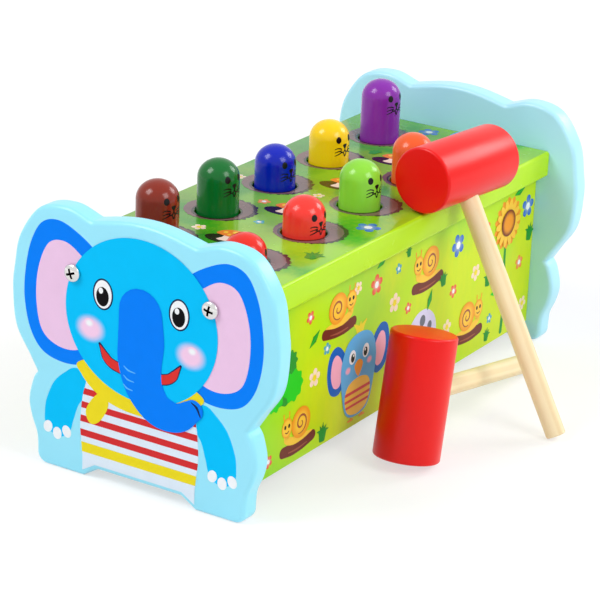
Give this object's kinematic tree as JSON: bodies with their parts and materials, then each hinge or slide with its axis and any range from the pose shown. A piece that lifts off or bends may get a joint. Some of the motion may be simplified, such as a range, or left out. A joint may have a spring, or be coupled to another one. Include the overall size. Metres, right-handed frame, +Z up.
{
  "type": "hammer peg toy",
  "caption": "Wooden pounding bench between two shaped end panels, with captive round-headed pegs linked in see-saw pairs, and two wooden mallets.",
  "frame": {"origin": "on the floor, at the middle of the box round the bench and both mallets", "axes": "+X across the bench towards the side that the mallets are on, +Y along the bench from the front panel to the back panel, +Z up"},
  "size_m": [0.1796, 0.2648, 0.1233],
  "materials": {
    "panel_blue": "satin paint with a printed front",
    "board_green": "gloss print",
    "side_green": "gloss print",
    "pale_wood": "smooth bare wood",
    "bare_wood": "sawn bare wood",
    "screw_steel": "bright zinc",
    "mallet_red": "satin paint",
    "peg_brown": "gloss paint",
    "peg_dark_green": "gloss paint",
    "peg_blue": "gloss paint",
    "peg_yellow": "gloss paint",
    "peg_purple": "gloss paint",
    "peg_red": "gloss paint",
    "peg_coral": "gloss paint",
    "peg_lime": "gloss paint",
    "peg_orange": "gloss paint",
    "peg_sky_blue": "gloss paint"
  },
  "bodies": {
    "bench": {"front_panel": "panel_blue", "back_panel": "panel_blue", "top_board": "board_green", "side_board_left": "side_green", "side_board_right": "side_green", "dowel_pin_1": "pale_wood", "dowel_pin_2": "pale_wood", "dowel_pin_3": "pale_wood", "dowel_pin_4": "pale_wood", "dowel_pin_5": "pale_wood", "dowel_pin_6": "pale_wood", "dowel_pin_7": "pale_wood", "dowel_pin_8": "pale_wood", "panel_screw_1": "screw_steel", "panel_screw_2": "screw_steel", "panel_screw_3": "screw_steel", "panel_screw_4": "screw_steel", "pivot_rod": "pale_wood", "spacer_1": "bare_wood", "spacer_2": "bare_wood", "spacer_3": "bare_wood", "spacer_4": "bare_wood", "spacer_5": "bare_wood", "spacer_6": "bare_wood"},
    "rocker_1": {"rocker_1": "bare_wood"},
    "rocker_2": {"rocker_2": "bare_wood"},
    "rocker_3": {"rocker_3": "bare_wood"},
    "rocker_4": {"rocker_4": "bare_wood"},
    "rocker_5": {"rocker_5": "bare_wood"},
    "peg_brown": {"peg_brown": "peg_brown"},
    "peg_dark_green": {"peg_dark_green": "peg_dark_green"},
    "peg_blue": {"peg_blue": "peg_blue"},
    "peg_yellow": {"peg_yellow": "peg_yellow"},
    "peg_purple": {"peg_purple": "peg_purple"},
    "peg_red": {"peg_red": "peg_red"},
    "peg_coral": {"peg_coral": "peg_coral"},
    "peg_lime": {"peg_lime": "peg_lime"},
    "peg_orange": {"peg_orange": "peg_orange"},
    "peg_sky_blue": {"peg_sky_blue": "peg_sky_blue"},
    "leaning_mallet": {"leaning_mallet_head": "mallet_red", "leaning_mallet_handle": "pale_wood"},
    "floor_mallet": {"floor_mallet_head": "mallet_red", "floor_mallet_handle": "pale_wood"}
  },
  "joints": [
    {"name": "peg_brown_slide", "type": "slide", "parent": "bench", "child": "peg_brown", "axis": [0, 0, 1], "range_m": [-0.01576, 0.00224]},
    {"name": "peg_dark_green_slide", "type": "slide", "parent": "bench", "child": "peg_dark_green", "axis": [0, 0, 1], "range_m": [-0.01263, 0.00537]},
    {"name": "peg_blue_slide", "type": "slide", "parent": "bench", "child": "peg_blue", "axis": [0, 0, 1], "range_m": [-0.008, 0.01]},
    {"name": "peg_yellow_slide", "type": "slide", "parent": "bench", "child": "peg_yellow", "axis": [0, 0, 1], "range_m": [-0.00775, 0.01025]},
    {"name": "peg_purple_slide", "type": "slide", "parent": "bench", "child": "peg_purple", "axis": [0, 0, 1], "range_m": [-0.01755, 0.00045]},
    {"name": "peg_red_slide", "type": "slide", "parent": "bench", "child": "peg_red", "axis": [0, 0, 1], "range_m": [-0.00224, 0.01576]},
    {"name": "peg_coral_slide", "type": "slide", "parent": "bench", "child": "peg_coral", "axis": [0, 0, 1], "range_m": [-0.00537, 0.01263]},
    {"name": "peg_lime_slide", "type": "slide", "parent": "bench", "child": "peg_lime", "axis": [0, 0, 1], "range_m": [-0.01, 0.008]},
    {"name": "peg_orange_slide", "type": "slide", "parent": "bench", "child": "peg_orange", "axis": [0, 0, 1], "range_m": [-0.01025, 0.00775]},
    {"name": "peg_sky_blue_slide", "type": "slide", "parent": "bench", "child": "peg_sky_blue", "axis": [0, 0, 1], "range_m": [-0.00045, 0.01755]},
    {"name": "rocker_1_swing", "type": "hinge", "parent": "bench", "child": "rocker_1", "pos_m": [-0.02473, -0.0894, 0.0651], "axis": [0, 1, 0], "range_deg": [-39.61, 5.63]},
    {"name": "rocker_2_swing", "type": "hinge", "parent": "bench", "child": "rocker_2", "pos_m": [-0.02473, -0.0452, 0.0651], "axis": [0, 1, 0], "range_deg": [-31.74, 13.51]},
    {"name": "rocker_3_swing", "type": "hinge", "parent": "bench", "child": "rocker_3", "pos_m": [-0.02473, -0.001, 0.0651], "axis": [0, 1, 0], "range_deg": [-20.11, 25.13]},
    {"name": "rocker_4_swing", "type": "hinge", "parent": "bench", "child": "rocker_4", "pos_m": [-0.02473, 0.0432, 0.0651], "axis": [0, 1, 0], "range_deg": [-19.48, 25.77]},
    {"name": "rocker_5_swing", "type": "hinge", "parent": "bench", "child": "rocker_5", "pos_m": [-0.02473, 0.0874, 0.0651], "axis": [0, 1, 0], "range_deg": [-44.11, 1.13]},
    {"name": "leaning_mallet_lift", "type": "slide", "parent": "bench", "child": "leaning_mallet", "axis": [0, 0, 1], "range_m": [0, 0.15]},
    {"name": "floor_mallet_lift", "type": "slide", "parent": "bench", "child": "floor_mallet", "axis": [0, 0, 1], "range_m": [0, 0.03]}
  ],
  "couplings": [
    {"joint": "peg_red_slide", "follows": "peg_brown_slide", "ratio": -1},
    {"joint": "rocker_1_swing", "follows": "peg_brown_slide", "rad_per_m": 43.866},
    {"joint": "peg_coral_slide", "follows": "peg_dark_green_slide", "ratio": -1},
    {"joint": "rocker_2_swing", "follows": "peg_dark_green_slide", "rad_per_m": 43.866},
    {"joint": "peg_lime_slide", "follows": "peg_blue_slide", "ratio": -1},
    {"joint": "rocker_3_swing", "follows": "peg_blue_slide", "rad_per_m": 43.866},
    {"joint": "peg_orange_slide", "follows": "peg_yellow_slide", "ratio": -1},
    {"joint": "rocker_4_swing", "follows": "peg_yellow_slide", "rad_per_m": 43.866},
    {"joint": "peg_sky_blue_slide", "follows": "peg_purple_slide", "ratio": -1},
    {"joint": "rocker_5_swing", "follows": "peg_purple_slide", "rad_per_m": 43.866}
  ]
}
